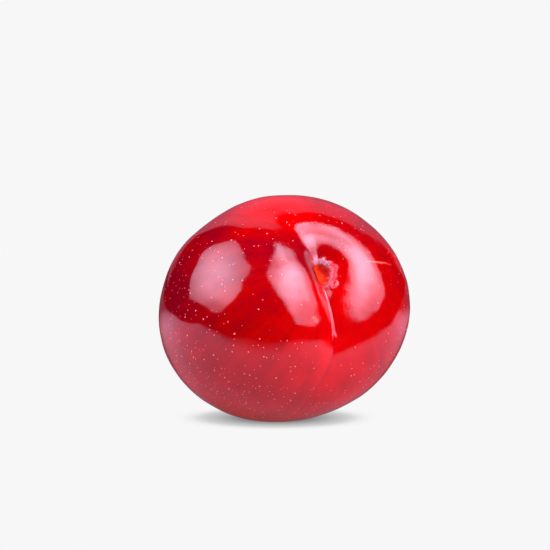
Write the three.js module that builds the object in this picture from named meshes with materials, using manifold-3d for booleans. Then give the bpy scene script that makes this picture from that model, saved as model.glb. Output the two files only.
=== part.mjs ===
// A ripe plum, lying on its side as picked: one solid of fruit with its suture groove, the deep
// cavity at the stem end, the scar that the stalk left in it and the dimple at the flower end.
// Millimetres, +Z up. The origin is at the middle of the box's base, on the resting surface.
// The fruit has axes of its own: +x runs from its middle to the suture, +y to its right cheek
// and +z to the stem end. Every form is worked out there, and the fruit is tipped over last.
// Each form is sunk into a plain rounded body. A reach is where a form has faded to a third.

import * as THREE from 'three';
import { mergeVertices } from 'three/addons/utils/BufferGeometryUtils.js';
import Module from 'manifold-3d';

// ---- the rounded body, mm
const HALF_WIDTH = 30.0; // middle to cheek
const HALF_DEPTH = 26.67; // middle to suture, and to the back
const STEM_REACH = 31.28; // middle to the stem end, before the cavity is sunk
const FLOWER_REACH = 25.89; // middle to the flower end
const SHOULDER = 0.145; // how much the stem half is fuller than the other
const SQUARENESS = 0.023; // how much both halves fill out towards their corners

// ---- the cavity at the stem end, mm
const CAVITY_DEPTH = 2.2; // below the hollow that the suture makes there
const CAVITY_LENGTH_REACH = 8.25; // along the suture
const CAVITY_LEFT_REACH = 3.15; // the left cheek rises steeply from the cavity
const CAVITY_RIGHT_REACH = 6.8;
const CAVITY_SHARPNESS = 1.46;
const CAVITY_X = -0.14; // its middle lies a little to the back of the stem axis
const CAVITY_Y = 0.5;
const SCAR_DEPTH = 1.6; // of the pit where the stalk broke off
const SCAR_RADIUS = 2.1; // across the suture
const SCAR_STRETCH = 1.25; // how much longer it is along the suture
const SCAR_SHIFT = 0.35; // from the cavity's middle towards the suture
const SCAR_EDGE = 0.4; // half the width of the pit's wall

// ---- the suture, mm across it and radians down from the stem
const VALLEY_DEPTH = 4.66; // of the broad hollow that the suture runs in
const VALLEY_HALF_WIDTH = 10.95;
const VALLEY_SHARPNESS = 1.58;
const VALLEY_STEM_WIDTH = 0.8; // share of its width near the stem
const VALLEY_FAR_WIDTH = 1.2; // and beyond the shoulder
const VALLEY_OPENING_START = 0.2; // angles down between which it widens
const VALLEY_OPENING_END = 1.4;
const VALLEY_REACH = 0.87; // of the deep part, down from the stem
const VALLEY_REACH_SHARPNESS = 2.2;
const FAR_SHARE = 0.2; // share of the depth that runs on towards the flower end
const FAR_REACH = 2.4;
const FAR_SHARPNESS = 4;
const BACK_REACH = 0.456; // of the hollow behind the stem
const BACK_SHARPNESS = 2;
const BACK_TURN = THREE.MathUtils.degToRad(23.5); // it bends to the left there
const SUTURE_SWERVE = 0.16; // angle by which the line swings to the left, low down
const SWERVE_START = 0.6; // angles down between which it does so
const SWERVE_END = 1.3;
const CREASE_DEPTH = 1.15; // of the fine line at the bottom of the hollow
const CREASE_HALF_WIDTH = 1.48;
const CREASE_SHARPNESS = 1.4;
const CREASE_REACH = 0.557;
const CREASE_REACH_SHARPNESS = 1.6;
const SIDE_BLEND = 1.5; // over which the suture's side passes into the back

// ---- the shallow groove that runs slantwise over the back, mm across it and radians down
const GROOVE_DEPTH = 1.2;
const GROOVE_LEFT_REACH = 4.5; // its left wall is the steeper
const GROOVE_RIGHT_REACH = 9.0;
const GROOVE_TURN = THREE.MathUtils.degToRad(50.8); // between its line and the suture's
const GROOVE_AWAY = 6.0; // from the stem axis to its line
const GROOVE_DEEPENING_START = 0.29; // angles down between which it deepens
const GROOVE_DEEPENING_END = 0.78;
const GROOVE_FADING_START = 0.25; // and between which it runs out
const GROOVE_FADING_END = 1.84;

// ---- the flower end and the flat spot, mm
const TIP_DEPTH = 0.7;
const TIP_REACH = 2.2;
const TIP_SHARPNESS = 2;
const FLAT_DEPTH = 0.6; // pressed flat where the fruit rests

// ---- how the fruit lies
const STEM_RISE = THREE.MathUtils.degToRad(33.35); // of the stem end above level
const STEM_SWING = THREE.MathUtils.degToRad(28.2); // of the stem end from -Y towards +X
const SUTURE_ROLL = THREE.MathUtils.degToRad(0.17); // of the suture about the stem axis

// ---- mesh
const SEGMENTS = 96;
const RINGS = 56;
const SUTURE_CROWDING = 0.55; // 0 spaces the segments evenly round the fruit
const STEM_CROWDING = 0.55; // 0 spaces the rings evenly from end to end
const STEM_CROWDING_POWER = 1.9;

/** 1 where the distance is nothing, fading to a third at the reach; sharper makes it squarer. */
function fade(distance, reach, sharpness) {
  return Math.exp(-(Math.abs(distance / reach) ** sharpness));
}

/** Share of the way round from the suture, 0 to 1, as an angle crowded at the suture. */
function segmentAngle(share) {
  const turn = 2 * Math.PI * share;
  return turn - SUTURE_CROWDING * Math.sin(turn);
}

/** Share of the way down from the stem end, 0 to 1, as an angle crowded at the stem. */
function ringAngle(share) {
  return Math.PI * THREE.MathUtils.lerp(share, share ** STEM_CROWDING_POWER, STEM_CROWDING);
}

/** A point of the plain rounded body, at an angle down from the stem and round from the suture. */
function bodyPoint(down, round) {
  const fullness = 1 + SHOULDER * Math.cos(down) + SQUARENESS * Math.sin(2 * down) ** 2;
  const girth = Math.sin(down) * fullness;
  const reach = THREE.MathUtils.lerp(FLOWER_REACH, STEM_REACH, (1 + Math.cos(down)) / 2);
  return new THREE.Vector3(
    HALF_DEPTH * girth * Math.cos(round),
    HALF_WIDTH * girth * Math.sin(round),
    reach * Math.cos(down),
  );
}

/** 1 on the suture's side of the stem and 0 behind it, with a smooth change between. */
function sutureSide(alongSuture) {
  return 1 / (1 + Math.exp(-alongSuture / SIDE_BLEND));
}

/** How far a place lies behind the stem, with a smooth change to 0 on the suture's side. */
function distanceBehind(x) {
  return SIDE_BLEND * Math.log1p(Math.exp(-x / SIDE_BLEND));
}

/** Distance across the line of the suture, which swerves low down and bends behind the stem. */
function sutureOffset(x, y, down) {
  const swerve = SUTURE_SWERVE * THREE.MathUtils.smoothstep(down, SWERVE_START, SWERVE_END);
  return y + Math.tan(BACK_TURN) * distanceBehind(x) + Math.tan(swerve) * Math.max(x, 0);
}

/** Depth of the funnel in which the stalk stood. */
function cavityDepth(x, y) {
  const acrossReach = y > 0 ? CAVITY_RIGHT_REACH : CAVITY_LEFT_REACH;
  const away = Math.hypot(x / CAVITY_LENGTH_REACH, y / acrossReach);
  return CAVITY_DEPTH * fade(away, 1, CAVITY_SHARPNESS);
}

/** Depth of the oval pit where the stalk broke off, on the floor of the cavity. */
function scarDepth(x, y) {
  const away = Math.hypot((x - SCAR_SHIFT) / SCAR_STRETCH, y);
  const filled = THREE.MathUtils.smoothstep(away, SCAR_RADIUS - SCAR_EDGE, SCAR_RADIUS + SCAR_EDGE);
  return SCAR_DEPTH * (1 - filled);
}

/** Depth of the broad hollow along the suture, which runs out behind the stem too. */
function valleyDepth(x, across, down) {
  const near = fade(down, VALLEY_REACH, VALLEY_REACH_SHARPNESS);
  const ahead = THREE.MathUtils.lerp(near, fade(down, FAR_REACH, FAR_SHARPNESS), FAR_SHARE);
  const behind = fade(down, BACK_REACH, BACK_SHARPNESS);
  const strength = THREE.MathUtils.lerp(behind, ahead, sutureSide(x));
  const opened = THREE.MathUtils.smoothstep(down, VALLEY_OPENING_START, VALLEY_OPENING_END);
  const width = VALLEY_HALF_WIDTH * THREE.MathUtils.lerp(VALLEY_STEM_WIDTH, VALLEY_FAR_WIDTH, opened);
  return VALLEY_DEPTH * strength * fade(across, width, VALLEY_SHARPNESS);
}

/** Depth of the shallow groove over the back. */
function grooveDepth(x, y, down) {
  const across = Math.cos(GROOVE_TURN) * y + Math.sin(GROOVE_TURN) * distanceBehind(x) - GROOVE_AWAY;
  const reach = across > 0 ? GROOVE_RIGHT_REACH : GROOVE_LEFT_REACH;
  const begun = THREE.MathUtils.smoothstep(down, GROOVE_DEEPENING_START, GROOVE_DEEPENING_END);
  const ended = THREE.MathUtils.smoothstep(down, GROOVE_FADING_START, GROOVE_FADING_END);
  return GROOVE_DEPTH * (1 - sutureSide(x)) * begun * (1 - ended) * fade(across, reach, 2);
}

/** Depth of the fine line of the suture itself. */
function creaseDepth(x, across, down) {
  const strength = sutureSide(x) * fade(down, CREASE_REACH, CREASE_REACH_SHARPNESS);
  return CREASE_DEPTH * strength * fade(across, CREASE_HALF_WIDTH, CREASE_SHARPNESS);
}

/** Depth of the dimple at the flower end. */
function tipDepth(point) {
  return TIP_DEPTH * fade(Math.hypot(point.x, point.y), TIP_REACH, TIP_SHARPNESS);
}

/** How deep the skin lies below a point of the plain body. */
function sunkDepth(point, down) {
  const x = point.x - CAVITY_X;
  const y = point.y - CAVITY_Y;
  const across = sutureOffset(x, y, down);
  const suture = valleyDepth(x, across, down) + creaseDepth(x, across, down);
  const stemEnd = cavityDepth(x, y) + scarDepth(x, y);
  return suture + grooveDepth(x, y, down) + (point.z > 0 ? stemEnd : tipDepth(point));
}

/** The skin as a closed mesh about the fruit's own axes. */
function fruitGeometry() {
  const geometry = new THREE.SphereGeometry(1, SEGMENTS, RINGS);
  const position = geometry.attributes.position;
  const uv = geometry.attributes.uv;
  for (let i = 0; i < position.count; i += 1) {
    const down = ringAngle(1 - uv.getY(i));
    const point = bodyPoint(down, segmentAngle(uv.getX(i)));
    point.setLength(point.length() - sunkDepth(point, down));
    position.setXYZ(i, point.x, point.y, point.z);
  }
  return geometry;
}

/** Turns the fruit's own axes to the way it lies. */
function layingTurn() {
  const stem = new THREE.Vector3(
    Math.sin(STEM_SWING) * Math.cos(STEM_RISE),
    -Math.cos(STEM_SWING) * Math.cos(STEM_RISE),
    Math.sin(STEM_RISE),
  );
  const suture = new THREE.Vector3(0, 0, -1).projectOnPlane(stem).normalize();
  suture.applyAxisAngle(stem, SUTURE_ROLL);
  const cheek = new THREE.Vector3().crossVectors(stem, suture);
  return new THREE.Matrix4().makeBasis(suture, cheek, stem);
}

/** A closed geometry as a solid that can be cut. */
function toSolid(wasm, geometry) {
  const bare = geometry.clone();
  bare.deleteAttribute('normal');
  bare.deleteAttribute('uv');
  const merged = mergeVertices(bare);
  return new wasm.Manifold(
    new wasm.Mesh({
      numProp: 3,
      vertProperties: new Float32Array(merged.attributes.position.array),
      triVerts: new Uint32Array(merged.index.array),
    }),
  );
}

/** A cut solid as a geometry again. */
function toGeometry(solid) {
  const { vertProperties, triVerts } = solid.getMesh();
  const geometry = new THREE.BufferGeometry();
  geometry.setAttribute('position', new THREE.BufferAttribute(vertProperties, 3));
  geometry.setIndex(new THREE.BufferAttribute(triVerts, 1));
  geometry.computeVertexNormals();
  return geometry;
}

/** Cuts the small flat spot under the laid fruit and stands it on z = 0 over the origin. */
function restOnFlat(wasm, geometry) {
  geometry.computeBoundingBox();
  const { min, max } = geometry.boundingBox;
  const size = new THREE.Vector3().subVectors(max, min);
  const slab = new THREE.BoxGeometry(2 * size.x, 2 * size.y, size.z);
  slab.translate(0, 0, min.z + FLAT_DEPTH - size.z / 2);
  const rested = toGeometry(toSolid(wasm, geometry).subtract(toSolid(wasm, slab)));
  rested.translate(-(min.x + max.x) / 2, -(min.y + max.y) / 2, -(min.z + FLAT_DEPTH));
  return rested;
}

const wasm = await Module();
wasm.setup();

const skin = new THREE.MeshStandardMaterial({ color: 0xc20a1c, roughness: 0.22, metalness: 0 });
const laid = fruitGeometry().applyMatrix4(layingTurn());
const plum = new THREE.Mesh(restOnFlat(wasm, laid), skin);
plum.name = 'plum';

const object = new THREE.Group();
object.add(plum);

export default object;
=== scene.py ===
"""A ripe red plum lying on a pale floor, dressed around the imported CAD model.

The plum's skin is one mesh that stands for the CAD node. Its form follows the same named sizes as
the construction model, with the fine forms added: the skin's faint unevenness, the thread of dry
skin in the suture and the fine line below it, the collar of dried skin round the scar that the
stalk left, and the torn shred of skin beside it.

The fruit has axes of its own: +x from its middle to the suture, +y to its right cheek and +z to
the stem end. Fruit sizes are in millimetres, and a reach is where a form has faded to a third.
Places in the scene are in metres.
"""

import math

import bpy
import numpy as np
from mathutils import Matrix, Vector


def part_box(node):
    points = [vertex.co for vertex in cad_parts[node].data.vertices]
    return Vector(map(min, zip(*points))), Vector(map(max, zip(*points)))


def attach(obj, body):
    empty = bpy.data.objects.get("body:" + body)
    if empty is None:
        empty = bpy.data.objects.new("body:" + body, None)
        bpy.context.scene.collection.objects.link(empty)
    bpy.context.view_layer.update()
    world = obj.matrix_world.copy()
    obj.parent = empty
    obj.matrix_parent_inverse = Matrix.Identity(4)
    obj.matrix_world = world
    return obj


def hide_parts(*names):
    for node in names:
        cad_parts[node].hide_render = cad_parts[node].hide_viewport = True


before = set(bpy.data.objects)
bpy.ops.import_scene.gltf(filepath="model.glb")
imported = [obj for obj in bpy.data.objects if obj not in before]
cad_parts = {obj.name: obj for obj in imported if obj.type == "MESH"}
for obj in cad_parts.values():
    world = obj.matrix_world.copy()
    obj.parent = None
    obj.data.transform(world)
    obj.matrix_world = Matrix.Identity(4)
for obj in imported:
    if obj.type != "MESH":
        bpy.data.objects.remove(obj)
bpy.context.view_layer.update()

MM = 0.001

# ---- the rounded body, mm
HALF_WIDTH = 30.0  # middle to cheek
HALF_DEPTH = 26.67  # middle to suture, and to the back
STEM_REACH = 31.28  # middle to the stem end, before the cavity is sunk
FLOWER_REACH = 25.89  # middle to the flower end
SHOULDER = 0.145  # how much the stem half is fuller than the other
SQUARENESS = 0.023  # how much both halves fill out towards their corners

# ---- the cavity at the stem end, mm
CAVITY_DEPTH = 2.2
CAVITY_LENGTH_REACH = 8.25
CAVITY_LEFT_REACH = 3.15
CAVITY_RIGHT_REACH = 6.8
CAVITY_SHARPNESS = 1.46
CAVITY_PLACE = (-0.14, 0.5)
SCAR_DEPTH = 1.6
SCAR_RADIUS = 2.1
SCAR_STRETCH = 1.25  # how much longer the scar is along the suture
SCAR_SHIFT = 0.35  # from the cavity's middle towards the suture
SCAR_EDGE = 0.4

# ---- the suture, mm across it and radians down from the stem
VALLEY_DEPTH = 4.66
VALLEY_HALF_WIDTH = 10.95
VALLEY_SHARPNESS = 1.58
VALLEY_STEM_WIDTH = 0.8
VALLEY_FAR_WIDTH = 1.2
VALLEY_WIDENING = (0.2, 1.4)  # angles down between which the one width passes into the other
VALLEY_REACH = 0.87
VALLEY_REACH_SHARPNESS = 2.2
FAR_SHARE = 0.2
FAR_REACH = 2.4
FAR_SHARPNESS = 4
BACK_REACH = 0.456
BACK_TURN = math.radians(23.5)
GROOVE_DEPTH = 1.2  # of the shallow groove that runs slantwise over the back
GROOVE_LEFT_REACH = 4.5  # its left wall is the steeper
GROOVE_RIGHT_REACH = 9.0
GROOVE_TURN = math.radians(50.8)  # between its line and the suture's
GROOVE_AWAY = 6.0  # from the stem axis to its line
GROOVE_START = (0.29, 0.78)  # angles down between which it deepens
GROOVE_END = (0.25, 1.84)  # and runs out
SUTURE_SWERVE = 0.16  # angle by which the line swings to the left, low down
SWERVE_START = 0.6  # angles down between which it does so
SWERVE_END = 1.3
CREASE_DEPTH = 1.15
CREASE_HALF_WIDTH = 1.48
CREASE_SHARPNESS = 1.4
CREASE_REACH = 0.557
CREASE_REACH_SHARPNESS = 1.6
SIDE_BLEND = 1.5

# ---- the flower end and the flat spot, mm
TIP_DEPTH = 0.7
TIP_REACH = 2.2
FLAT_DEPTH = 0.6

# ---- fine forms of the skin, mm and radians down from the stem
UNEVENNESS = ((17.0, 0.09), (7.0, 0.030), (3.2, 0.008))  # wavelengths and their heights
UNEVEN_WAVES = 12
UNEVEN_SEED = 7
THREAD_HEIGHT = 0.11  # of the thread of dry skin at the bottom of the suture
THREAD_HALF_WIDTHS = (0.20, 0.34)  # near the stem and at its far end
THREAD_WIDENING = (0.25, 0.60)  # angles down between which the one passes into the other
THREAD_START = (0.15, 0.21)  # and between which it rises
THREAD_END = (0.59, 0.65)  # and sinks
THREAD_WAVERS = ((0.03, 31, 0.0), (-0.26, 7, 0.19))  # swing, waves to 2 pi radians and start
FORK_SPREAD = 0.6  # from the middle of the small fork that it ends in to each of its ends
FORK = (0.55, 0.64)  # angles down between which it opens
LINE_DEPTH = 0.03  # of the fine line that runs on below it
LINE_HALF_WIDTH = 0.60
LINE_START = (0.55, 0.75)  # angles down between which it begins
RING_RADIUS = 3.1  # of the collar of dried skin round the scar
RING_HALF_WIDTH = 0.75
RING_HEIGHT = 0.13
RING_TURN = math.radians(105)  # round from the suture, the middle of its higher side
RING_SIDE = (-0.6, 0.0)  # cosines of the turn from that middle between which it rises
RING_FOLDS = ((19, 0.03, 0.0), (31, 0.03, 0.7), (47, 0.02, 0.2))  # number, height and turn
FOLDED_TURN = math.radians(165)  # the middle of the side where it is folded
FOLDED_SIDE = (0.1, 0.7)  # cosines of the turn from that middle between which the folds rise
FOLD_SWAY = (0.3, 2.0)  # how far the folds sway round the scar, and how fast, on their way out
RAGGEDNESS = ((2, 0.04, 0.9), (3, 0.05, 1.9), (5, 0.04, 0.4), (11, 0.03, 1.1))  # of the scar's rim
MOAT_DEPTH = 0.15  # of the hollow between the collar and the right wall of the cavity
MOAT_RADIUS = 4.5
MOAT_HALF_WIDTH = 0.9
MOAT_TURN = math.radians(100)  # round from the suture, where it is deepest
SHRED_PLACE = (4.5, 2.4)  # of the torn shred of skin that curls in a loop beside the scar
SHRED_TURN = math.radians(-35)  # of the loop's longer way
SHRED_STRETCH = 1.9
SHRED_RADIUS = 0.58
SHRED_HEIGHT = 0.36
SHRED_HALF_WIDTH = 0.17

# ---- how the fruit lies
STEM_RISE = math.radians(33.35)
STEM_SWING = math.radians(28.2)
SUTURE_ROLL = math.radians(0.17)

# ---- the mesh, with its points crowded at the stem and the suture
RINGS = 236
SEGMENTS = 420
STEM_CROWDING = 0.62
STEM_CROWDING_POWER = 2.2
SUTURE_CROWDING = 0.55
END_GAP = 1e-6  # radians between an end point and the fruit's axis

# ---- what the mesh keeps for its material
FAR_OFF = 99.0  # the distance of a point that lies at the fruit's other end, mm
FOLD_DRIFT = 0.25  # how slowly the pattern of the collar's folds changes on its way out
STREAK_DRIFT = 0.12  # and the pattern of the skin's streaks on its way down


def smooth_step(value, low, high):
    """0 below low, 1 above high and a smooth rise between them."""
    share = np.clip((value - low) / (high - low), 0, 1)
    return share * share * (3 - 2 * share)


def fade(distance, reach, sharpness=2.0):
    """1 where the distance is nothing, fading to a third at the reach."""
    return np.exp(-(np.abs(distance / reach) ** sharpness))


def lerp(first, second, share):
    """The value at this share of the way from the first to the second."""
    return first + (second - first) * share


def body_points(down, around):
    """Points of the plain rounded body, at angles down from the stem and round from the suture."""
    fullness = 1 + SHOULDER * np.cos(down) + SQUARENESS * np.sin(2 * down) ** 2
    girth = np.sin(down) * fullness
    x = HALF_DEPTH * girth * np.cos(around)
    y = HALF_WIDTH * girth * np.sin(around)
    reach = lerp(FLOWER_REACH, STEM_REACH, (1 + np.cos(down)) / 2)
    z = reach * np.cos(down) + 0 * around
    return x, y, z


def suture_side(x):
    """1 on the suture's side of the stem and 0 behind it, with a smooth change between."""
    return 1 / (1 + np.exp(-x / SIDE_BLEND))


def distance_behind(x):
    """How far a place lies behind the stem, with a smooth change to 0 on the suture's side."""
    return SIDE_BLEND * np.logaddexp(0, -x / SIDE_BLEND)


def suture_offset(x, y, down):
    """Distance across the line of the suture, which swerves low down and bends behind the stem."""
    swerve = SUTURE_SWERVE * smooth_step(down, SWERVE_START, SWERVE_END)
    return y + math.tan(BACK_TURN) * distance_behind(x) + np.tan(swerve) * np.maximum(x, 0)


def cavity_depth(x, y):
    """The cavity at the stem end, steeper on its left."""
    across_reach = np.where(y > 0, CAVITY_RIGHT_REACH, CAVITY_LEFT_REACH)
    away = np.hypot(x / CAVITY_LENGTH_REACH, y / across_reach)
    return CAVITY_DEPTH * fade(away, 1, CAVITY_SHARPNESS)


def valley_depth(x, across, down):
    """The broad hollow of the suture."""
    near = fade(down, VALLEY_REACH, VALLEY_REACH_SHARPNESS)
    ahead = lerp(near, fade(down, FAR_REACH, FAR_SHARPNESS), FAR_SHARE)
    strength = lerp(fade(down, BACK_REACH), ahead, suture_side(x))
    widened = smooth_step(down, *VALLEY_WIDENING)
    width = VALLEY_HALF_WIDTH * lerp(VALLEY_STEM_WIDTH, VALLEY_FAR_WIDTH, widened)
    return VALLEY_DEPTH * strength * fade(across, width, VALLEY_SHARPNESS)


def groove_depth(x, y, down):
    """The shallow groove that runs slantwise over the back."""
    along_turn = math.cos(GROOVE_TURN) * y + math.sin(GROOVE_TURN) * distance_behind(x)
    across = along_turn - GROOVE_AWAY
    reach = np.where(across > 0, GROOVE_RIGHT_REACH, GROOVE_LEFT_REACH)
    strength = (1 - suture_side(x)) * smooth_step(down, *GROOVE_START)
    strength *= 1 - smooth_step(down, *GROOVE_END)
    return GROOVE_DEPTH * strength * fade(across, reach)


def crease_depth(x, across, down):
    """The fine crease at the bottom of that hollow."""
    strength = suture_side(x) * fade(down, CREASE_REACH, CREASE_REACH_SHARPNESS)
    return CREASE_DEPTH * strength * fade(across, CREASE_HALF_WIDTH, CREASE_SHARPNESS)


def scar_depth(away):
    """The pit that the stalk left."""
    return SCAR_DEPTH * (1 - smooth_step(away, SCAR_RADIUS - SCAR_EDGE, SCAR_RADIUS + SCAR_EDGE))


def ripples(turn, waves):
    """A sum of waves round the scar, each given by its number, its height and where it peaks."""
    return sum(height * np.cos(count * (turn - peak)) for count, height, peak in waves)


def thread_profile(x, across, down):
    """1 along the thread at the bottom of the suture, which wavers and ends in a small fork."""
    strength = smooth_step(down, *THREAD_START) * (1 - smooth_step(down, *THREAD_END))
    waver = sum(swing * np.sin(rate * (down - start)) for swing, rate, start in THREAD_WAVERS)
    fork = FORK_SPREAD * smooth_step(down, *FORK)
    away = np.abs(np.abs(across - waver) - fork)
    half_width = lerp(*THREAD_HALF_WIDTHS, smooth_step(down, *THREAD_WIDENING))
    return suture_side(x) * strength * fade(away, half_width)


def line_depth(x, across, down):
    """The fine line that runs on from the thread to the flower end."""
    strength = suture_side(x) * smooth_step(down, *LINE_START)
    strength *= fade(down, FAR_REACH, FAR_SHARPNESS)
    return LINE_DEPTH * strength * fade(across, LINE_HALF_WIDTH)


def shred_profile(x, y):
    """1 along the shred of skin that curls in a long loop beside the scar."""
    x = x - SHRED_PLACE[0]
    y = y - SHRED_PLACE[1]
    lengthwise = x * math.cos(SHRED_TURN) + y * math.sin(SHRED_TURN)
    crosswise = y * math.cos(SHRED_TURN) - x * math.sin(SHRED_TURN)
    away = np.hypot(lengthwise / SHRED_STRETCH, crosswise) - SHRED_RADIUS
    return fade(away, SHRED_HALF_WIDTH)


def ring_height(away, turn):
    """The collar of dried skin round the scar, and the hollow beside it."""
    higher = smooth_step(np.cos(turn - RING_TURN), *RING_SIDE)
    collar = fade(away - RING_RADIUS, RING_HALF_WIDTH) * higher
    folded = smooth_step(np.cos(turn - FOLDED_TURN), *FOLDED_SIDE)
    sway, rate = FOLD_SWAY
    folds = folded * ripples(turn + sway * np.sin(rate * away), RING_FOLDS)
    beside = (1 + np.cos(turn - MOAT_TURN)) / 2
    moat = MOAT_DEPTH * beside * fade(away - MOAT_RADIUS, MOAT_HALF_WIDTH)
    return collar * (RING_HEIGHT + folds) - moat


def unevenness(place):
    """Faint waves of the skin, as a sum of plane waves in random directions."""
    random = np.random.default_rng(UNEVEN_SEED)
    total = np.zeros(len(place))
    for length, height in UNEVENNESS:
        for _ in range(UNEVEN_WAVES):
            way = random.normal(size=3)
            way *= 2 * math.pi / (length * np.linalg.norm(way))
            phase = random.uniform(0, 2 * math.pi)
            total += height / math.sqrt(UNEVEN_WAVES) * np.sin(place @ way + phase)
    return total


def skin_forms(down, around):
    """The finished skin, sunk from the plain body, and how each point lies to its marks."""
    x, y, z = body_points(down, around)
    from_x = x - CAVITY_PLACE[0]
    from_y = y - CAVITY_PLACE[1]
    across = suture_offset(from_x, from_y, down)
    scar_x = (from_x - SCAR_SHIFT) / SCAR_STRETCH
    turn = np.arctan2(from_y, scar_x)
    away = np.hypot(scar_x, from_y) / (1 + ripples(turn, RAGGEDNESS))
    thread = thread_profile(from_x, across, down)
    shred = shred_profile(from_x, from_y)
    stem_end = cavity_depth(from_x, from_y) + scar_depth(away)
    stem_end -= ring_height(away, turn) + SHRED_HEIGHT * shred
    flower_end = TIP_DEPTH * fade(np.hypot(x, y), TIP_REACH)
    sunk = valley_depth(from_x, across, down) + crease_depth(from_x, across, down)
    sunk += groove_depth(from_x, from_y, down) + line_depth(from_x, across, down)
    sunk += np.where(z > 0, stem_end, flower_end) - THREAD_HEIGHT * thread
    body = np.stack([x, y, z], -1)
    sunk += unevenness(body)
    points = body * (1 - sunk / np.linalg.norm(body, axis=-1))[:, None]
    marks = {
        "across": np.where(points[:, 0] > 0, np.abs(across), FAR_OFF),
        "away": np.where(z > 0, away, FAR_OFF),
        "turn": turn,
        "thread": thread,
        "shred": np.where(z > 0, shred, 0),
        "fold_pattern": np.stack([np.cos(turn), np.sin(turn), FOLD_DRIFT * away], -1),
    }
    return points, marks


def fruit_axes():
    """The fruit's own x, y and z axes as it lies, as the rows of a matrix."""
    stem = np.array(
        [
            math.sin(STEM_SWING) * math.cos(STEM_RISE),
            -math.cos(STEM_SWING) * math.cos(STEM_RISE),
            math.sin(STEM_RISE),
        ]
    )
    down = np.array([0.0, 0.0, -1.0])
    hanging = down - (down @ stem) * stem
    hanging /= np.linalg.norm(hanging)
    sideways = np.cross(stem, hanging)
    suture = math.cos(SUTURE_ROLL) * hanging + math.sin(SUTURE_ROLL) * sideways
    return np.stack([suture, np.cross(stem, suture), stem])


def grid_angles():
    """The angles of the mesh's points, crowded at the stem and the suture, with both ends last."""
    share = np.arange(1, RINGS) / RINGS
    crowded = STEM_CROWDING * share**STEM_CROWDING_POWER
    down = math.pi * ((1 - STEM_CROWDING) * share + crowded)
    turn = np.linspace(0, 2 * math.pi, SEGMENTS, endpoint=False)
    around = turn - SUTURE_CROWDING * np.sin(turn)
    all_down = np.append(np.repeat(down, SEGMENTS), [END_GAP, math.pi - END_GAP])
    all_around = np.append(np.tile(around, RINGS - 1), [0.0, 0.0])
    return all_down, all_around


def grid_faces():
    """Quads between the rings and a fan of triangles over each end."""
    rows = RINGS - 1
    index = np.arange(rows * SEGMENTS).reshape(rows, SEGMENTS)
    upper, lower = index[:-1], index[1:]
    quads = np.stack([upper, lower, np.roll(lower, -1, 1), np.roll(upper, -1, 1)], -1)
    stem_end, flower_end = rows * SEGMENTS, rows * SEGMENTS + 1
    first, last = index[0], index[-1]
    fans = [[stem_end, a, b] for a, b in zip(first.tolist(), np.roll(first, -1).tolist())]
    fans += [[flower_end, b, a] for a, b in zip(last.tolist(), np.roll(last, -1).tolist())]
    return quads.reshape(-1, 4).tolist() + fans


def fit_to_box(points):
    """Rests the laid fruit on its flat spot and fits it to the CAD node's box, in metres."""
    floor_level = points[:, 2].min() + FLAT_DEPTH
    points[:, 2] = np.maximum(points[:, 2], floor_level)
    low, high = points.min(0), points.max(0)
    box_low, box_high = (np.array(corner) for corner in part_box("plum"))
    scale = (box_high - box_low) / (high - low)
    return (points - low) * scale + box_low, box_low - low * scale


# ---- the skin's colour by region, with painted light and shade: degrees down from the stem,
# degrees round from the suture to the right, reach in degrees and change of value
TONE = 0.40  # away from all its spots
# The two raised spots lowest down are painted light from below, and the lowered spots close round
# the cavity are painted shade in it.
TONE_AND_SHADING_SPOTS = (
    (50, -5, 26, 0.17),
    (78, -98, 32, -0.36),
    (36, -103, 17, -0.20),
    (46, -129, 9, -0.08),
    (63, -131, 12, -0.14),
    (32, -131, 8, -0.12),
    (75, 20, 12, 0.19),
    (68, -13, 11, -0.11),
    (48, 46, 12, -0.10),
    (42, 70, 12, -0.06),
    (44, -166, 16, 0.20),
    (38, 132, 24, -0.14),
    (10, 30, 12, 0.18),
    (100, -20, 34, 0.17),
    (62, -10, 12, 0.14),
    (72, 66, 20, -0.10),
    (92, 32, 16, 0.14),
    (15, -138, 11, -0.27),
    (8, -95, 7, -0.16),
    (12, 130, 9, -0.12),
    (12, 45, 8, -0.12),
    (27, 133, 9, -0.09),
    (67, -103, 9, -0.10),
    (52, -129, 9, -0.08),
    (34, 72, 12, -0.06),
    (36, -47, 12, -0.07),
    (53, -72, 7, -0.06),
)
SPECKLING = 0.58
SPECKLING_SPOTS = (
    (88, -70, 42, 0.60),
    (58, -120, 26, 0.25),
    (80, 40, 30, 0.15),
    (20, 0, 35, -0.50),
    (45, -150, 30, -0.38),
    (60, 0, 14, -0.35),
    (50, -80, 20, -0.45),
    (28, 20, 12, -0.20),
)


def unit_directions(down, around):
    """The ways from the fruit's middle at these angles, each of length 1."""
    level = np.sin(down)
    return np.stack([level * np.cos(around), level * np.sin(around), np.cos(down)], -1)


def painted(down, around, value, spots):
    """A value over the fruit that soft round spots raise or lower."""
    looking = unit_directions(down, around)
    total = np.full(len(down), value)
    for spot_down, spot_around, reach, change in spots:
        towards = unit_directions(math.radians(spot_down), math.radians(spot_around))
        angle = np.degrees(np.arccos(np.clip(looking @ towards, -1, 1)))
        total += change * fade(angle, reach)
    return total


def add_attribute(mesh, name, values):
    """Keeps a number or a vector for each of the mesh's points, for the material to read."""
    vector = values.ndim == 2
    added = mesh.attributes.new(name, "FLOAT_VECTOR" if vector else "FLOAT", "POINT")
    added.data.foreach_set("vector" if vector else "value", values.astype(np.float32).ravel())


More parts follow.
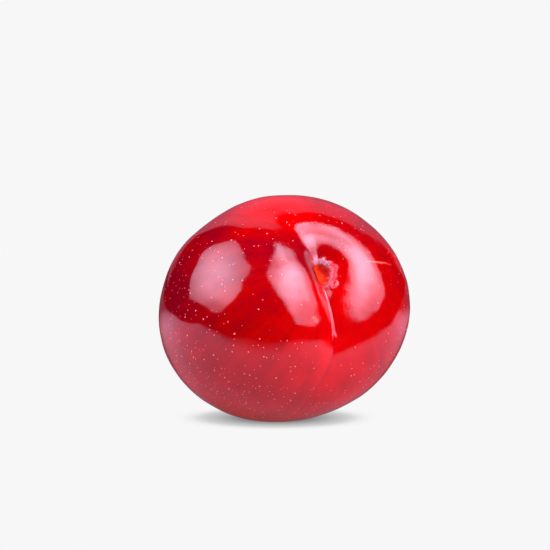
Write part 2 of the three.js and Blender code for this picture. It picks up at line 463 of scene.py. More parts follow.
def make_plum():
    """The skin as a mesh, and where the fruit's own middle lies in the scene."""
    down, around = grid_angles()
    points, marks = skin_forms(down, around)
    laid, middle = fit_to_box(points @ fruit_axes())
    mesh = bpy.data.meshes.new("plum_skin")
    mesh.from_pydata(laid.tolist(), [], grid_faces())
    mesh.update()
    mesh.shade_smooth()
    streak_pattern = np.stack([np.cos(around), np.sin(around), STREAK_DRIFT * down], -1)
    add_attribute(mesh, "place", points)
    add_attribute(mesh, "down", down)
    add_attribute(mesh, "streak_pattern", streak_pattern)
    add_attribute(mesh, "tone_and_shading", painted(down, around, TONE, TONE_AND_SHADING_SPOTS))
    add_attribute(mesh, "speckling", painted(down, around, SPECKLING, SPECKLING_SPOTS))
    for name, values in marks.items():
        add_attribute(mesh, name, values)
    plum = bpy.data.objects.new("plum_skin", mesh)
    bpy.context.scene.collection.objects.link(plum)
    return plum, middle


# ---- short forms for shader nodes
def node(tree, kind, inputs=None, **settings):
    """Adds a shader node; an input takes a value or another node's output."""
    made = tree.nodes.new("ShaderNode" + kind)
    for name, value in settings.items():
        setattr(made, name, value)
    for name, value in (inputs or {}).items():
        if isinstance(value, bpy.types.NodeSocket):
            tree.links.new(value, made.inputs[name])
        else:
            made.inputs[name].default_value = value
    return made


def empty_tree(owner):
    """The emptied node tree of a material, a light or the world."""
    owner.use_nodes = True
    owner.node_tree.nodes.clear()
    return owner.node_tree


def attribute(tree, name, output="Fac"):
    """What the mesh keeps under this name for each of its points."""
    return node(tree, "Attribute", attribute_name=name).outputs[output]


def maths(tree, operation, *values):
    """A number worked out from numbers and from other nodes' outputs."""
    return node(tree, "Math", dict(enumerate(values)), operation=operation).outputs[0]


def product(tree, *factors):
    """These numbers and outputs multiplied in turn."""
    total = factors[0]
    for factor in factors[1:]:
        total = maths(tree, "MULTIPLY", total, factor)
    return total


def ramp(tree, value, low, high, start=0.0, end=1.0):
    """A smooth change from start to end as the value goes from low to high."""
    inputs = {"Value": value, "From Min": low, "From Max": high, "To Min": start, "To Max": end}
    return node(tree, "MapRange", inputs, interpolation_type="SMOOTHSTEP").outputs[0]


def band(tree, value, *limits):
    """1 between the middle two of four limits, with a smooth rise before and a fall after."""
    rise = ramp(tree, value, *limits[:2])
    return product(tree, rise, ramp(tree, value, *limits[2:], 1.0, 0.0))


def mixed(tree, share, first, second):
    """A colour between the first and the second; only a Mix node's colour sockets are enabled."""
    inputs = {"Factor": share, "A": first, "B": second}
    made = node(tree, "Mix", data_type="RGBA")
    for name, value in inputs.items():
        socket = next(s for s in made.inputs if s.name == name and s.enabled)
        if isinstance(value, bpy.types.NodeSocket):
            tree.links.new(value, socket)
        else:
            socket.default_value = value
    return next(s for s in made.outputs if s.enabled)


def noise(tree, place, scale, detail, roughness=0.5):
    """Smooth random values about a half, the same at each place in every run."""
    inputs = {"Vector": place, "Scale": scale, "Detail": detail, "Roughness": roughness}
    return node(tree, "TexNoise", inputs).outputs[0]


def uneven(tree, place, *texture):
    """The same random values about nothing."""
    return maths(tree, "SUBTRACT", noise(tree, place, *texture), 0.5)


def vector_maths(tree, operation, *values):
    """A place worked out from places."""
    return node(tree, "VectorMath", dict(enumerate(values)), operation=operation).outputs[0]


def along(tree, place, way):
    """How far a place lies along a way, or the cosine of the angle between two ways."""
    made = node(tree, "VectorMath", {0: place, 1: way}, operation="DOT_PRODUCT")
    return made.outputs["Value"]


def from_segment(tree, place, start, end):
    """Distance from a straight stroke between two points, in mm."""
    stroke = np.subtract(end, start)
    relative = vector_maths(tree, "SUBTRACT", place, start)
    share = node(tree, "Clamp", {0: along(tree, relative, stroke / (stroke @ stroke))}).outputs[0]
    inputs = {0: stroke, "Scale": share}
    nearest = node(tree, "VectorMath", inputs, operation="SCALE").outputs[0]
    inputs = {0: relative, 1: nearest}
    return node(tree, "VectorMath", inputs, operation="DISTANCE").outputs["Value"]


def fading_spot(tree, place, middle, reaches):
    """1 at the middle, fading to a third where one of the reaches ends."""
    offset = vector_maths(tree, "SUBTRACT", place, middle)
    shares = vector_maths(tree, "MULTIPLY", offset, tuple(1 / reach for reach in reaches))
    return maths(tree, "EXPONENT", product(tree, along(tree, shares, shares), -1))


# The sections below hold each mark's values. An edge is the two values between which a mark
# begins or ends, a band is the two edges of a stretch, and a noise is a scale, its detail and its
# roughness. Places on the fruit are in mm and angles down from the stem in radians. Distances from
# the scar are in mm across the suture, and stretched along it as the scar is.

# ---- the reds of the flesh and skin
DEEP_RED = (0.115, 0.0, 0.004, 1)
DARK_RED = (0.22, 0.0, 0.0005, 1)
RED = (0.32, 0.0, 0.0005, 1)
BRIGHT_RED = (0.46, 0.0005, 0.001, 1)
LIGHT_RED = (0.64, 0.006, 0.008, 1)
REDS = ((0.0, DEEP_RED), (0.3, DARK_RED), (0.5, RED), (0.75, BRIGHT_RED), (1.0, LIGHT_RED))
MOTTLE = 0.50  # the change of value that each of the three patterns makes
MOTTLE_NOISE = (0.13, 3.0, 0.55)
FINE_MOTTLE = 0.16
FINE_MOTTLE_NOISE = (1.1, 3.0, 0.6)
STREAKS = 0.34
STREAK_NOISE = (11.0, 4.0, 0.6)


def tone_and_shading_colour(tree, place):
    """The red of the flesh and skin, deeper or brighter by region with painted light and shade,
    mottled and streaked.
    """
    streak_pattern = attribute(tree, "streak_pattern", "Vector")
    tone_and_shading = attribute(tree, "tone_and_shading")
    for weight, pattern, texture in (
        (MOTTLE, place, MOTTLE_NOISE),
        (FINE_MOTTLE, place, FINE_MOTTLE_NOISE),
        (STREAKS, streak_pattern, STREAK_NOISE),
    ):
        tone_and_shading = maths(tree, "MULTIPLY_ADD", uneven(tree, pattern, *texture), weight, tone_and_shading)
    reds = node(tree, "ValToRGB", {0: tone_and_shading})
    elements = reds.color_ramp.elements
    while len(elements) < len(REDS):
        elements.new(0.5)
    for element, (position, colour) in zip(elements, REDS):
        element.position = position
        element.color = colour
    return reds.outputs[0]


# ---- the pale specks
SPECK_COLOUR = (0.82, 0.23, 0.22, 1)
SPECK_CELL = 0.95
SPECK_RADIUS = (0.11, 0.23)  # of the least and the largest, in cells
SPECK_EDGE = (0.5, 1.0)  # shares of the radius
SPECK_STRENGTH = (0.40, 1.0)  # of the faintest and the palest


def speck_mask(tree, place):
    """Small pale dots, some in every region, more where the speckling is dense."""
    cells = node(tree, "TexVoronoi", {"Vector": place, "Scale": 1 / SPECK_CELL})
    random = node(tree, "SeparateColor", {0: cells.outputs["Color"]}).outputs
    radius = ramp(tree, random[1], 0.0, 1.0, *SPECK_RADIUS)
    reach = maths(tree, "DIVIDE", cells.outputs["Distance"], radius)
    dot = ramp(tree, reach, *SPECK_EDGE, 1.0, 0.0)
    kept = maths(tree, "LESS_THAN", random[0], attribute(tree, "speckling"))
    return product(tree, dot, kept, ramp(tree, random[2], 0.0, 1.0, *SPECK_STRENGTH))


# ---- the marks along the suture
DARK_LINE_COLOUR = (0.17, 0.0, 0.018, 1)
DARK_LINE_EDGE = (0.15, 0.75)  # across the suture
DARK_LINE_TOP = (0.55, 0.80)  # angles down between which it begins
DARK_LINE_STRENGTH = 0.22
THREAD_COLOUR = (0.55, 0.05, 0.07, 1)
# The paler top of the thread is a painted highlight on its dry skin.
THREAD_TOP_HIGHLIGHT_COLOUR = (0.60, 0.26, 0.28, 1)
THREAD_TOP = (0.22, 0.30)  # angles down between which its paler top ends
THREAD_EDGE = (0.25, 0.85)  # shares of its height
THREAD_STRENGTH = 0.65
# This colour also paints shade on the cavity's left lip.
STAIN_AND_SHADE_COLOUR = (0.09, 0.0, 0.004, 1)  # of the dark grit here and of the crumbs further on
GRIT_NOISE = (3.0, 2.0)
GRIT_EDGE = (0.54, 0.62)
GRIT_BAND = (0.17, 0.22, 0.68, 0.74)  # angles down
BESIDE_BAND = (0.3, 0.5, 0.7, 1.0)  # of the grit beside the thread, across the suture
BESIDE_STRENGTH = 0.55
BELOW_EDGE = (0.6, 1.6)  # of the grit below it, across the suture
BELOW_TOP = (0.61, 0.65)  # angles down between which it begins
BELOW_STRENGTH = 0.85


def suture_layers(tree, place, marks):
    """The dark line low down, the thread of dry skin with a painted highlight at its top, and the
    dark grit beside and below it.
    """
    across, down = attribute(tree, "across"), attribute(tree, "down")
    line = ramp(tree, across, *DARK_LINE_EDGE, 1.0, 0.0)
    line = product(tree, line, ramp(tree, down, *DARK_LINE_TOP, 0.0, DARK_LINE_STRENGTH))
    thread_and_highlight_colour = mixed(tree, ramp(tree, down, *THREAD_TOP), THREAD_TOP_HIGHLIGHT_COLOUR, THREAD_COLOUR)
    beside = product(tree, band(tree, across, *BESIDE_BAND), BESIDE_STRENGTH)
    below = ramp(tree, across, *BELOW_EDGE, 1.0, 0.0)
    below = product(tree, below, ramp(tree, down, *BELOW_TOP), BELOW_STRENGTH)
    grit = product(
        tree,
        ramp(tree, noise(tree, place, *GRIT_NOISE), *GRIT_EDGE),
        maths(tree, "MAXIMUM", beside, below),
        band(tree, down, *GRIT_BAND),
    )
    return [(line, DARK_LINE_COLOUR), (marks["thread"], thread_and_highlight_colour), (grit, STAIN_AND_SHADE_COLOUR)]


# ---- the fleck left of the suture and the scratch on the right cheek, as strokes between places
RAGGED_NOISE = (2.5, 3.0)
RAGGED_REACH = 1.2  # how far their edges waver
FLECK = ((11.5, -5.5, 25.8), (12.3, -4.5, 25.3))
FLECK_COLOUR = (0.74, 0.06, 0.03, 1)
FLECK_EDGE = (0.25, 0.60)
FLECK_STRENGTH = 0.8
SCRATCH = (
    (-0.3, 10.9, 28.4),
    (-0.2, 13.1, 28.0),
    (-0.2, 15.2, 27.2),
    (-0.4, 17.3, 26.1),
    (-0.3, 19.3, 24.9),
)
SCRATCH_COLOUR = (0.80, 0.13, 0.07, 1)
SCRATCH_EDGE = (0.05, 0.28)
SCRATCH_FRAYING = 0.5
SCRATCH_STRENGTH = 0.70
SCRATCH_MIDDLE = 14.5  # where it is strongest, along the fruit's y
SCRATCH_FADING = (0.8, 4.5)  # from that middle
SCRATCH_END_SHARE = 0.25


def scratch_layers(tree, place):
    """The small fleck, and the scratch in frayed strokes that fade towards both its ends."""
    ragged = product(tree, uneven(tree, place, *RAGGED_NOISE), RAGGED_REACH)
    fleck = maths(tree, "ADD", from_segment(tree, place, *FLECK), ragged)
    layers = [(ramp(tree, fleck, *FLECK_EDGE, FLECK_STRENGTH, 0.0), FLECK_COLOUR)]
    rightwards = node(tree, "SeparateXYZ", {0: place}).outputs["Y"]
    from_middle = maths(tree, "ABSOLUTE", maths(tree, "SUBTRACT", rightwards, SCRATCH_MIDDLE))
    fading = ramp(tree, from_middle, *SCRATCH_FADING, 1.0, SCRATCH_END_SHARE)
    for start, end in zip(SCRATCH, SCRATCH[1:]):
        distance = from_segment(tree, place, start, end)
        frayed = maths(tree, "MULTIPLY_ADD", ragged, SCRATCH_FRAYING, distance)
        stroke = ramp(tree, frayed, *SCRATCH_EDGE, SCRATCH_STRENGTH, 0.0)
        layers.append((product(tree, stroke, fading), SCRATCH_COLOUR))
    return layers


# ---- the collar round the scar. A sector has its middle and half its width, as turns round it
SECTOR_SOFTNESS = 0.2  # of its ends, in cosines of the turn from its middle
SMOOTH_SECTOR = (math.radians(62), math.radians(50))
SMOOTH_BAND = (2.6, 3.0, 3.7, 4.1)
SMOOTH_STRENGTH = 0.85
CRUMBLY_SECTOR = (math.radians(70), math.radians(65))
CRUMBLY_BAND = (2.0, 2.2, 2.7, 3.1)
CRUMBLY_STRENGTH = 0.8
CRUMB_NOISE = (2.4, 3.0, 0.7)
PALE_CRUMB_EDGE = (0.41, 0.48)
FOLDED_SECTOR = (math.radians(170), math.radians(50))
FOLDED_BAND = (2.2, 2.5, 3.2, 3.7)
FOLD_NOISE = (4.5, 4.0, 0.7)
FOLD_EDGE = (0.38, 0.56)
FOLD_LEAST = 0.4
COLLAR_COLOUR = (0.42, 0.03, 0.04, 1)
PALE_COLLAR_COLOUR = (0.31, 0.14, 0.18, 1)


def round_scar(tree, sector, limits):
    """1 in a sector round the scar and in a band of distances from its middle, with soft ends."""
    middle, half_width = sector
    facing = maths(tree, "COSINE", maths(tree, "SUBTRACT", attribute(tree, "turn"), middle))
    end = math.cos(half_width)
    within = ramp(tree, facing, end - SECTOR_SOFTNESS, end + SECTOR_SOFTNESS)
    return product(tree, within, band(tree, attribute(tree, "away"), *limits))


def collar_layers(tree, marks):
    """The collar: smooth and crumbly towards the right cheek, folded towards the back."""
    pale = product(tree, marks["crumbly"], ramp(tree, marks["crumbs"], *PALE_CRUMB_EDGE, 1.0, 0.0))
    folds = product(tree, marks["folded"], ramp(tree, marks["folds"], *FOLD_EDGE, FOLD_LEAST, 1.0))
    return [
        (product(tree, marks["smooth"], SMOOTH_STRENGTH), COLLAR_COLOUR),
        (product(tree, marks["crumbly"], CRUMBLY_STRENGTH), COLLAR_COLOUR),
        (pale, PALE_COLLAR_COLOUR),
        (folds, PALE_COLLAR_COLOUR),
    ]


# ---- the pit that the stalk left
PIT_COLOUR = (0.70, 0.060, 0.0, 1)
PIT_RED_COLOUR = (0.40, 0.004, 0.0, 1)
PIT_EDGE = (2.80, 3.05)  # from the scar's middle, with its raggedness
PIT_RAGGEDNESS = 1.3
PIT_RED_EDGE = (1.6, 2.5)  # of its redder side, along the fruit's y with its slant and raggedness
PIT_RED_SLANT = -0.45
PIT_RED_RAGGEDNESS = 1.6
DARK_CRUMB_BAND = (1.3, 1.7, 2.7, 3.1)  # of the dark crumbs, from the scar's middle
DARK_CRUMB_EDGE = (0.53, 0.60)
DARK_CRUMB_STRENGTH = 0.85
DARK_CRUMB_START = (1.3, 2.0)  # along the fruit's y, where they begin


def pit_layers(tree, place, marks):
    """The orange pit, redder on its right, with dark crumbs there."""
    split = node(tree, "SeparateXYZ", {0: place}).outputs
    slanted = maths(tree, "MULTIPLY_ADD", split["X"], PIT_RED_SLANT, split["Y"])
    redness = maths(tree, "MULTIPLY_ADD", marks["crumbs"], PIT_RED_RAGGEDNESS, slanted)
    colour = mixed(tree, ramp(tree, redness, *PIT_RED_EDGE), PIT_COLOUR, PIT_RED_COLOUR)
    dark = product(
        tree,
        ramp(tree, marks["crumbs"], *DARK_CRUMB_EDGE, 0.0, DARK_CRUMB_STRENGTH),
        band(tree, attribute(tree, "away"), *DARK_CRUMB_BAND),
        ramp(tree, split["Y"], *DARK_CRUMB_START),
    )
    return [(marks["pit"], colour), (dark, STAIN_AND_SHADE_COLOUR)]


# ---- the torn shred beside the scar, and the rough skin on the cavity's left lip, darkened with painted shade of its fold
SHRED_EDGE = (0.3, 0.8)  # shares of its height
SHRED_STRENGTH = 0.8
ROUGH_SHADED_LIP = ((-3.0, -3.7, 27.2), (2.6, -2.9, 26.9))
ROUGH_REACH = 2.6
ROUGH_NOISE = (1.7, 2.0, 0.7)
# The dark mottling on the lip is painted shade.
LIP_SHADE_EDGE = (0.40, 0.60)
LIP_SHADE_STRENGTH = (0.9, 0.2)


def torn_skin_layers(tree, marks):
    """The reddish shred, and the dark mottling on the cavity's left lip: speckled rough skin with
    painted shade.
    """
    mottling = ramp(tree, marks["roughening"], *LIP_SHADE_EDGE, *LIP_SHADE_STRENGTH)
    shaded_lip = product(tree, marks["rough"], mottling)
    return [(marks["shred"], THREAD_COLOUR), (shaded_lip, STAIN_AND_SHADE_COLOUR)]


# ---- the skin's gloss and its finest relief
SKIN_ROUGHNESS = 0.055
GLOSS_MOTTLE = 0.03
GLOSS_NOISE = (0.5, 3.0)
MARK_ROUGHNESS = {
    "collar": 0.42,
    "smooth": 0.22,
    "thread": 0.06,
    "pit": 0.35,
    "specks": 0.10,
    "shred": 0.15,
    "rough": 0.16,
}
SKIN_IOR = 1.5
GRAIN_NOISE = (1.4, 4.0, 0.65)
GRAIN_HEIGHTS = (0.026, 0.0012)  # of the fine grain at the stem end and over the rest
GRAIN_ENDS = (0.3, 0.8)  # angles down between which one passes into the other
WRINKLE_HEIGHT = 0.25  # of the collar's finest folds
ROUGH_HEIGHT = 0.05
SPECK_DEPTH = 0.006


def skin_roughness(tree, place, marks):
    """How rough the gloss is: a little mottled, and more on every mark."""
    mottling = noise(tree, place, *GLOSS_NOISE)
    roughness = maths(tree, "MULTIPLY_ADD", mottling, GLOSS_MOTTLE, SKIN_ROUGHNESS)
    for name, more in MARK_ROUGHNESS.items():
        roughness = maths(tree, "MULTIPLY_ADD", marks[name], more, roughness)
    return roughness


def skin_relief(tree, place, marks):
    """The height of what is too fine for the mesh, in mm."""
    grain_height = ramp(tree, attribute(tree, "down"), *GRAIN_ENDS, *GRAIN_HEIGHTS)
    relief = product(tree, marks["collar"], marks["folds"], WRINKLE_HEIGHT)
    for strength, height in (
        (noise(tree, place, *GRAIN_NOISE), grain_height),
        (marks["specks"], -SPECK_DEPTH),
        (product(tree, marks["rough"], marks["roughening"]), ROUGH_HEIGHT),
    ):
        relief = maths(tree, "MULTIPLY_ADD", strength, height, relief)
    return relief


# ---- the whole skin
def skin_marks(tree, place):
    """The noises, and the masks that are 1 on a mark, which colour, gloss and relief share."""
    crumbs = noise(tree, place, *CRUMB_NOISE)
    ragged_away = maths(tree, "MULTIPLY_ADD", crumbs, PIT_RAGGEDNESS, attribute(tree, "away"))
    folded = round_scar(tree, FOLDED_SECTOR, FOLDED_BAND)
    crumbly = round_scar(tree, CRUMBLY_SECTOR, CRUMBLY_BAND)
    from_rough = from_segment(tree, place, *ROUGH_SHADED_LIP)
    return {
        "crumbs": crumbs,
        "folds": noise(tree, attribute(tree, "fold_pattern", "Vector"), *FOLD_NOISE),
        "roughening": noise(tree, place, *ROUGH_NOISE),
        "specks": speck_mask(tree, place),
        "thread": ramp(tree, attribute(tree, "thread"), *THREAD_EDGE, 0.0, THREAD_STRENGTH),
        "smooth": round_scar(tree, SMOOTH_SECTOR, SMOOTH_BAND),
        "folded": folded,
        "crumbly": crumbly,
        "collar": maths(tree, "MAXIMUM", folded, crumbly),
        "pit": ramp(tree, ragged_away, *PIT_EDGE, 1.0, 0.0),
        "shred": ramp(tree, attribute(tree, "shred"), *SHRED_EDGE, 0.0, SHRED_STRENGTH),
        "rough": ramp(tree, from_rough, 0.0, ROUGH_REACH, 1.0, 0.0),
    }


def skin_material():
    """Glossy skin in changing reds, with its marks laid over them one by one."""
    material = bpy.data.materials.new("plum_skin")
    tree = empty_tree(material)
    place = attribute(tree, "place", "Vector")
    marks = skin_marks(tree, place)
    layers = [(marks["specks"], SPECK_COLOUR)]
    layers += suture_layers(tree, place, marks)
    layers += scratch_layers(tree, place)
    layers += collar_layers(tree, marks)
    layers += pit_layers(tree, place, marks)
    layers += torn_skin_layers(tree, marks)
    colour = tone_and_shading_colour(tree, place)
    for share, over in layers:
        colour = mixed(tree, share, colour, over)
    relief = skin_relief(tree, place, marks)
    bump = node(tree, "Bump", {"Height": relief, "Distance": MM, "Strength": 1.0})
    inputs = {
        "Base Color": colour,
        "Roughness": skin_roughness(tree, place, marks),
        "Normal": bump.outputs[0],
        "IOR": SKIN_IOR,
    }
    shader = node(tree, "BsdfPrincipled", inputs)
    node(tree, "OutputMaterial", {0: shader.outputs[0]})
    return material


# ---- the camera
CAMERA_RISE = math.radians(10)
CAMERA_DISTANCE = 0.70
METRES_PER_PIXEL = 0.24 * MM
FRAME_PIXELS = 550
SENSOR_WIDTH = 36
CLIP_START = 0.01
MIDDLE_SHIFT = (1.60 * MM, 1.90 * MM)  # from the fruit's middle, right and up in the picture
PICTURE_SHIFT = (9.5, 33.5)  # pixels that the picture's middle lies left of it and above it


def make_camera(middle):
    """A camera at the photograph's viewing angle, with the fruit's middle at its place."""
    towards = Vector((0, -math.cos(CAMERA_RISE), math.sin(CAMERA_RISE)))
    up = Vector((0, math.sin(CAMERA_RISE), math.cos(CAMERA_RISE)))
    right = Vector((1, 0, 0))
    stand = Vector(middle) + right * MIDDLE_SHIFT[0] + up * MIDDLE_SHIFT[1]
    left_shift, up_shift = (pixels * METRES_PER_PIXEL for pixels in PICTURE_SHIFT)
    aim = stand - right * left_shift + up * up_shift
    data = bpy.data.cameras.new("camera")
    camera = bpy.data.objects.new("camera", data)
    camera.location = stand + towards * CAMERA_DISTANCE
    camera.rotation_mode = "QUATERNION"
    camera.rotation_quaternion = (aim - camera.location).to_track_quat("-Z", "Y")
    data.sensor_width = SENSOR_WIDTH
    data.lens = SENSOR_WIDTH * CAMERA_DISTANCE / (FRAME_PIXELS * METRES_PER_PIXEL)
    data.clip_start = CLIP_START
    bpy.context.scene.collection.objects.link(camera)
    bpy.context.scene.camera = camera


def direction(azimuth, elevation):
    """The way to look, in degrees round from the camera's side and up from level."""
    azimuth, elevation = math.radians(azimuth), math.radians(elevation)
    level = math.cos(elevation)
    return Vector((math.sin(azimuth) * level, -math.cos(azimuth) * level, math.sin(elevation)))


# ---- two soft boxes that point at the plum, in metres and degrees. A box is the left, right,
# bottom and top of its panel. A side has the direction that it faces on the panel and its distance.
# A glow is a strength that is added to the radiance, a middle and a reach.
LIGHT_DISTANCE = 0.70
LIGHT_EDGE = 0.012  # half the width over which a side goes dark
LIGHT_COLOUR = (1.35, 1.0, 1.36, 1)
LEFT_SOFTBOX = {
    "towards": (-76, 34.2),
    "box": (-0.43, 0.56, -0.40, 0.51),
    "sides": (
        (85, 0.468),
        (56, 0.573),
        (7, 0.541),
        (-15, 0.492),
        (-96, 0.331),
        (-154, 0.345),
        (180, 0.405),
        (146, 0.430),
    ),
    "radiance": 0.5,
    "glows": ((6.7, (0.11, 0.08), (0.42, 0.33)),),
}
RIGHT_SOFTBOX = {
    "towards": (55.2, 38.3),
    "box": (-0.64, 0.66, -0.66, 0.62),
    "sides": (
        (51, 0.51),
        (115, 0.43),
        (190, 0.375),
        (222, 0.48),
        (270, 0.49),
        (305, 0.57),
    ),
    "radiance": 2.3,
    "glows": (
        (9.5, (0.03, 0.05), (0.30, 0.24)),
        (5.0, (0.17, 0.50), (0.09, 0.12)),
        (-2.2, (-0.16, 0.26), (0.10, 0.10)),
        (-3.0, (0.03, 0.22), (0.11, 0.06)),
        (2.4, (0.03, 0.40), (0.08, 0.07)),
        (2.5, (0.30, 0.02), (0.09, 0.09)),
        (1.8, (-0.17, 0.04), (0.08, 0.10)),
        (2.8, (0.12, 0.30), (0.05, 0.06)),
        (1.3, (-0.18, -0.26), (0.12, 0.18)),
        (-1.5, (0.09, -0.15), (0.06, 0.12)),
    ),
}


def light_panel(name, centre, facing, width, height):
    """An area light whose shader's strength is its radiance, and its empty node tree."""
    data = bpy.data.lights.new(name, "AREA")
    data.shape = "RECTANGLE"
    data.size = width
    data.size_y = height
    data.energy = math.pi * data.size * data.size_y
    light = bpy.data.objects.new(name, data)
    light.location = centre
    light.rotation_mode = "QUATERNION"
    light.rotation_quaternion = facing.to_track_quat("Z", "Y")
    light.visible_camera = False
    bpy.context.scene.collection.objects.link(light)
    return empty_tree(data)


def softbox_light(tree, place, sides, radiance, glows):
    """The light over a soft box's panel, which its straight sides cut off."""
    light = radiance
    for strength, middle, reach in glows:
        near = fading_spot(tree, place, (*middle, 0), (*reach, 1))
        light = maths(tree, "MULTIPLY_ADD", near, strength, light)
    for side_direction, distance in sides:
        turn = math.radians(side_direction)
        reached = along(tree, place, (math.cos(turn), math.sin(turn), 0))
        inside = ramp(tree, reached, distance - LIGHT_EDGE, distance + LIGHT_EDGE, 1.0, 0.0)
        light = product(tree, light, inside)
    return light


def make_softbox(name, towards, box, **brightness):
    """A soft box that points at the plum, with its own sides, radiance and glows."""
    facing = direction(*towards)
    right = Vector((0, 0, 1)).cross(facing).normalized()
    up = facing.cross(right)
    box_left, box_right, bottom, top = box
    width, height = box_right - box_left, top - bottom
    centre = facing * LIGHT_DISTANCE
    centre += right * (box_left + box_right) / 2 + up * (bottom + top) / 2
    tree = light_panel(name, centre, facing, width, height)
    share = node(tree, "NewGeometry").outputs["Parametric"]
    place = vector_maths(tree, "MULTIPLY_ADD", share, (width, height, 0), (box_left, bottom, 0))
    light = softbox_light(tree, place, **brightness)
    emission = node(tree, "Emission", {"Color": LIGHT_COLOUR, "Strength": light})
    node(tree, "OutputLight", {0: emission.outputs[0]})


# ---- the dark studio round the lights, and the pale wall behind the plum: directions in degrees
STUDIO_COLOUR = (0.003, 0.002, 0.003, 1)
BACKGROUND = 0.93
BACKGROUND_COLOUR = (1, 1, 1, 1)
MIRRORED_TINT = (1.9, 1.0, 1.52, 1)  # of the wall and the paper in the plum's gloss
AMBIENT = 0.25  # light from all round that only brightens matt colours
WALL_DIRECTION = (177, 26)
WALL_HALF_ANGLE = math.radians(34.5)
WALL_EDGE = math.radians(5)
WALL_LEFT = ((-159, 0), (-159, 40))  # each side is a straight edge through two directions
WALL_RIGHT = ((152, 5), (123, 47))
WALL_SIDE_EDGE = 0.03  # half the width over which a side goes dark, as a sine
WALL_HEIGHTS = (0.0, 0.8)  # sines of the elevations where it is darkest and palest
WALL_RADIANCES = (0.11, 0.42)
FOOT_DIRECTION = (-173, -5)  # of the foot of the wall, which only the fruit's very edge mirrors
FOOT_HALF_ANGLE = math.radians(22)
FOOT_EDGE = math.radians(10)
FOOT_RADIANCE = 0.13


def round_patch(tree, looking, towards, half_angle, edge):
    """1 inside a round patch of the surroundings and 0 outside, with a soft edge."""
    away = maths(tree, "ARCCOSINE", along(tree, looking, direction(*towards)))
    return ramp(tree, away, half_angle - edge / 2, half_angle + edge / 2, 1.0, 0.0)


def straight_edge(tree, looking, first, second):
    """1 on the wall's side of the straight line through two directions, with a soft edge."""
    outwards = direction(*first).cross(direction(*second)).normalized()
    if outwards.dot(direction(*WALL_DIRECTION)) > 0:
        outwards.negate()
    beyond = along(tree, looking, outwards)
    return ramp(tree, beyond, -WALL_SIDE_EDGE, WALL_SIDE_EDGE, 1.0, 0.0)


def wall_radiance(tree, looking):
    """The pale wall, paler higher up, and its foot."""
    height = node(tree, "SeparateXYZ", {0: looking}).outputs["Z"]
    wall = product(
        tree,
        round_patch(tree, looking, WALL_DIRECTION, WALL_HALF_ANGLE, WALL_EDGE),
        straight_edge(tree, looking, *WALL_LEFT),
        straight_edge(tree, looking, *WALL_RIGHT),
        ramp(tree, height, *WALL_HEIGHTS, *WALL_RADIANCES),
    )
    foot = round_patch(tree, looking, FOOT_DIRECTION, FOOT_HALF_ANGLE, FOOT_EDGE)
    return maths(tree, "MAXIMUM", wall, product(tree, foot, FOOT_RADIANCE))


def make_world():
    """Pale behind the plum for the camera; a dark studio with a pale wall for its reflections."""
    world = bpy.data.worlds.new("studio")
    bpy.context.scene.world = world
    tree = empty_tree(world)
    wall = wall_radiance(tree, node(tree, "TexCoord").outputs["Generated"])
    path = node(tree, "LightPath").outputs
    glow = maths(tree, "MULTIPLY_ADD", path["Is Diffuse Ray"], AMBIENT, wall)
    dark = node(tree, "Background", {"Color": STUDIO_COLOUR})
    pale = node(tree, "Background", {"Color": MIRRORED_TINT, "Strength": glow})
    room = node(tree, "AddShader", {0: dark.outputs[0], 1: pale.outputs[0]})
    backdrop = node(tree, "Background", {"Color": BACKGROUND_COLOUR, "Strength": BACKGROUND})
    inputs = {0: path["Is Camera Ray"], 1: room.outputs[0], 2: backdrop.outputs[0]}
    seen = node(tree, "MixShader", inputs)
    node(tree, "OutputWorld", {0: seen.outputs[0]})


# ---- the sheet of pale paper under the plum, in metres
FLOOR_HALF_SIDE = 0.9
PAPER_LEFT = (-0.187, -0.163)  # each edge softens between two places
PAPER_FRONT = (-0.088, -0.046)
PAPER_RIGHT = (0.100, 0.140)  # along the diagonal from front left to back right
PAPER_BACK = (0.04, 0.16)
PAPER_FAR = 0.08  # what is left of its brightness behind the back edge
PAPER_MIRRORED = 1.05  # its brightness in the plum's gloss
PAPER_BOUNCE = 1.1  # and in the light that it sends up
SHADOW_PLACE = (0.0, 0.105, 0)  # of the plum's own broad shadow on it, as the gloss mirrors it
SHADOW_REACH = (0.059, 0.101, 1)
SHADOW_SHADE = 2.4
SHADOW_DARKEST = 0.1  # the least that is left of the paper's brightness in it
CONTACT_PLACE = (-0.002, 0.002, 0)  # of the soft shadow where the plum touches it
CONTACT_REACH = (0.0165, 0.0098, 1)
CONTACT_SHADE = 0.97
CONTACT_FADING = (0.07, 0.35)  # shares of its depth between which its outer part fades
UNDER_PLACE = (-0.006, -0.002, 0)  # of the same shadow in the plum's gloss
UNDER_REACH = (0.018, 0.011, 1)
UNDER_SHADE = 0.75
UNDER_TINT = (2.1, 1.0, 1.0, 1)  # the fruit's red light on the paper there


def seen_paper(tree, place):
    """The paper as the camera sees it: as pale as the background, with the contact shadow."""
    contact = fading_spot(tree, place, CONTACT_PLACE, CONTACT_REACH)
    dimmed = product(tree, contact, ramp(tree, contact, *CONTACT_FADING), CONTACT_SHADE)
    lit = maths(tree, "SUBTRACT", 1, dimmed)
    return node(tree, "Emission", {"Strength": product(tree, lit, BACKGROUND)}).outputs[0]


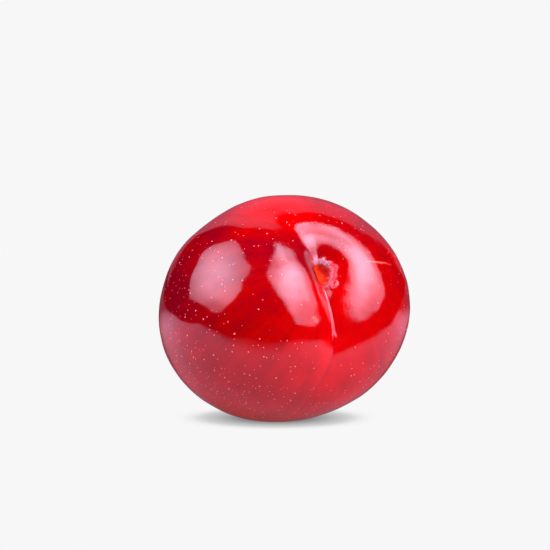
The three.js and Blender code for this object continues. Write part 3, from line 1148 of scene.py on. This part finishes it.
def mirrored_paper(tree, place):
    """The paper as the plum's gloss mirrors it: one lit sheet, shaded and reddened by the plum."""
    x, y = (node(tree, "SeparateXYZ", {0: place}).outputs[axis] for axis in "XY")
    left = ramp(tree, x, *PAPER_LEFT)
    front = ramp(tree, y, *PAPER_FRONT)
    right = ramp(tree, maths(tree, "SUBTRACT", x, y), *PAPER_RIGHT, 1.0, 0.0)
    back = ramp(tree, y, *PAPER_BACK, 1.0, PAPER_FAR)
    shadow = fading_spot(tree, place, SHADOW_PLACE, SHADOW_REACH)
    shaded = maths(tree, "MULTIPLY_ADD", shadow, -SHADOW_SHADE, 1)
    shaded = maths(tree, "MAXIMUM", shaded, SHADOW_DARKEST)
    under = fading_spot(tree, place, UNDER_PLACE, UNDER_REACH)
    dimmed = maths(tree, "MULTIPLY_ADD", under, -UNDER_SHADE, 1)
    strength = product(tree, left, front, right, back, shaded, dimmed, PAPER_MIRRORED)
    reddened = maths(tree, "MAXIMUM", under, shadow)
    tint = mixed(tree, reddened, MIRRORED_TINT, UNDER_TINT)
    return node(tree, "Emission", {"Color": tint, "Strength": strength}).outputs[0]


def floor_material():
    """One look of the paper for the camera, one for the gloss and one for matt colours."""
    material = bpy.data.materials.new("floor")
    tree = empty_tree(material)
    place = node(tree, "NewGeometry").outputs["Position"]
    bounced = node(tree, "Emission", {"Strength": PAPER_BOUNCE}).outputs[0]
    path = node(tree, "LightPath").outputs
    inputs = {0: path["Is Glossy Ray"], 1: bounced, 2: mirrored_paper(tree, place)}
    unseen = node(tree, "MixShader", inputs)
    inputs = {0: path["Is Camera Ray"], 1: unseen.outputs[0], 2: seen_paper(tree, place)}
    paper = node(tree, "MixShader", inputs)
    node(tree, "OutputMaterial", {0: paper.outputs[0]})
    return material


def make_floor():
    """A wide square under the plum, which passes into the background unseen."""
    mesh = bpy.data.meshes.new("floor")
    corners = [(-1, -1), (1, -1), (1, 1), (-1, 1)]
    places = [(FLOOR_HALF_SIDE * x, FLOOR_HALF_SIDE * y, 0) for x, y in corners]
    mesh.from_pydata(places, [], [(0, 1, 2, 3)])
    mesh.materials.append(floor_material())
    floor = bpy.data.objects.new("floor", mesh)
    bpy.context.scene.collection.objects.link(floor)


plum, middle = make_plum()
plum.data.materials.append(skin_material())
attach(plum, "root")
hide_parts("plum")
make_camera(middle)
make_softbox("left_softbox", **LEFT_SOFTBOX)
make_softbox("right_softbox", **RIGHT_SOFTBOX)
make_world()
make_floor()
bpy.context.scene.view_settings.view_transform = "Standard"
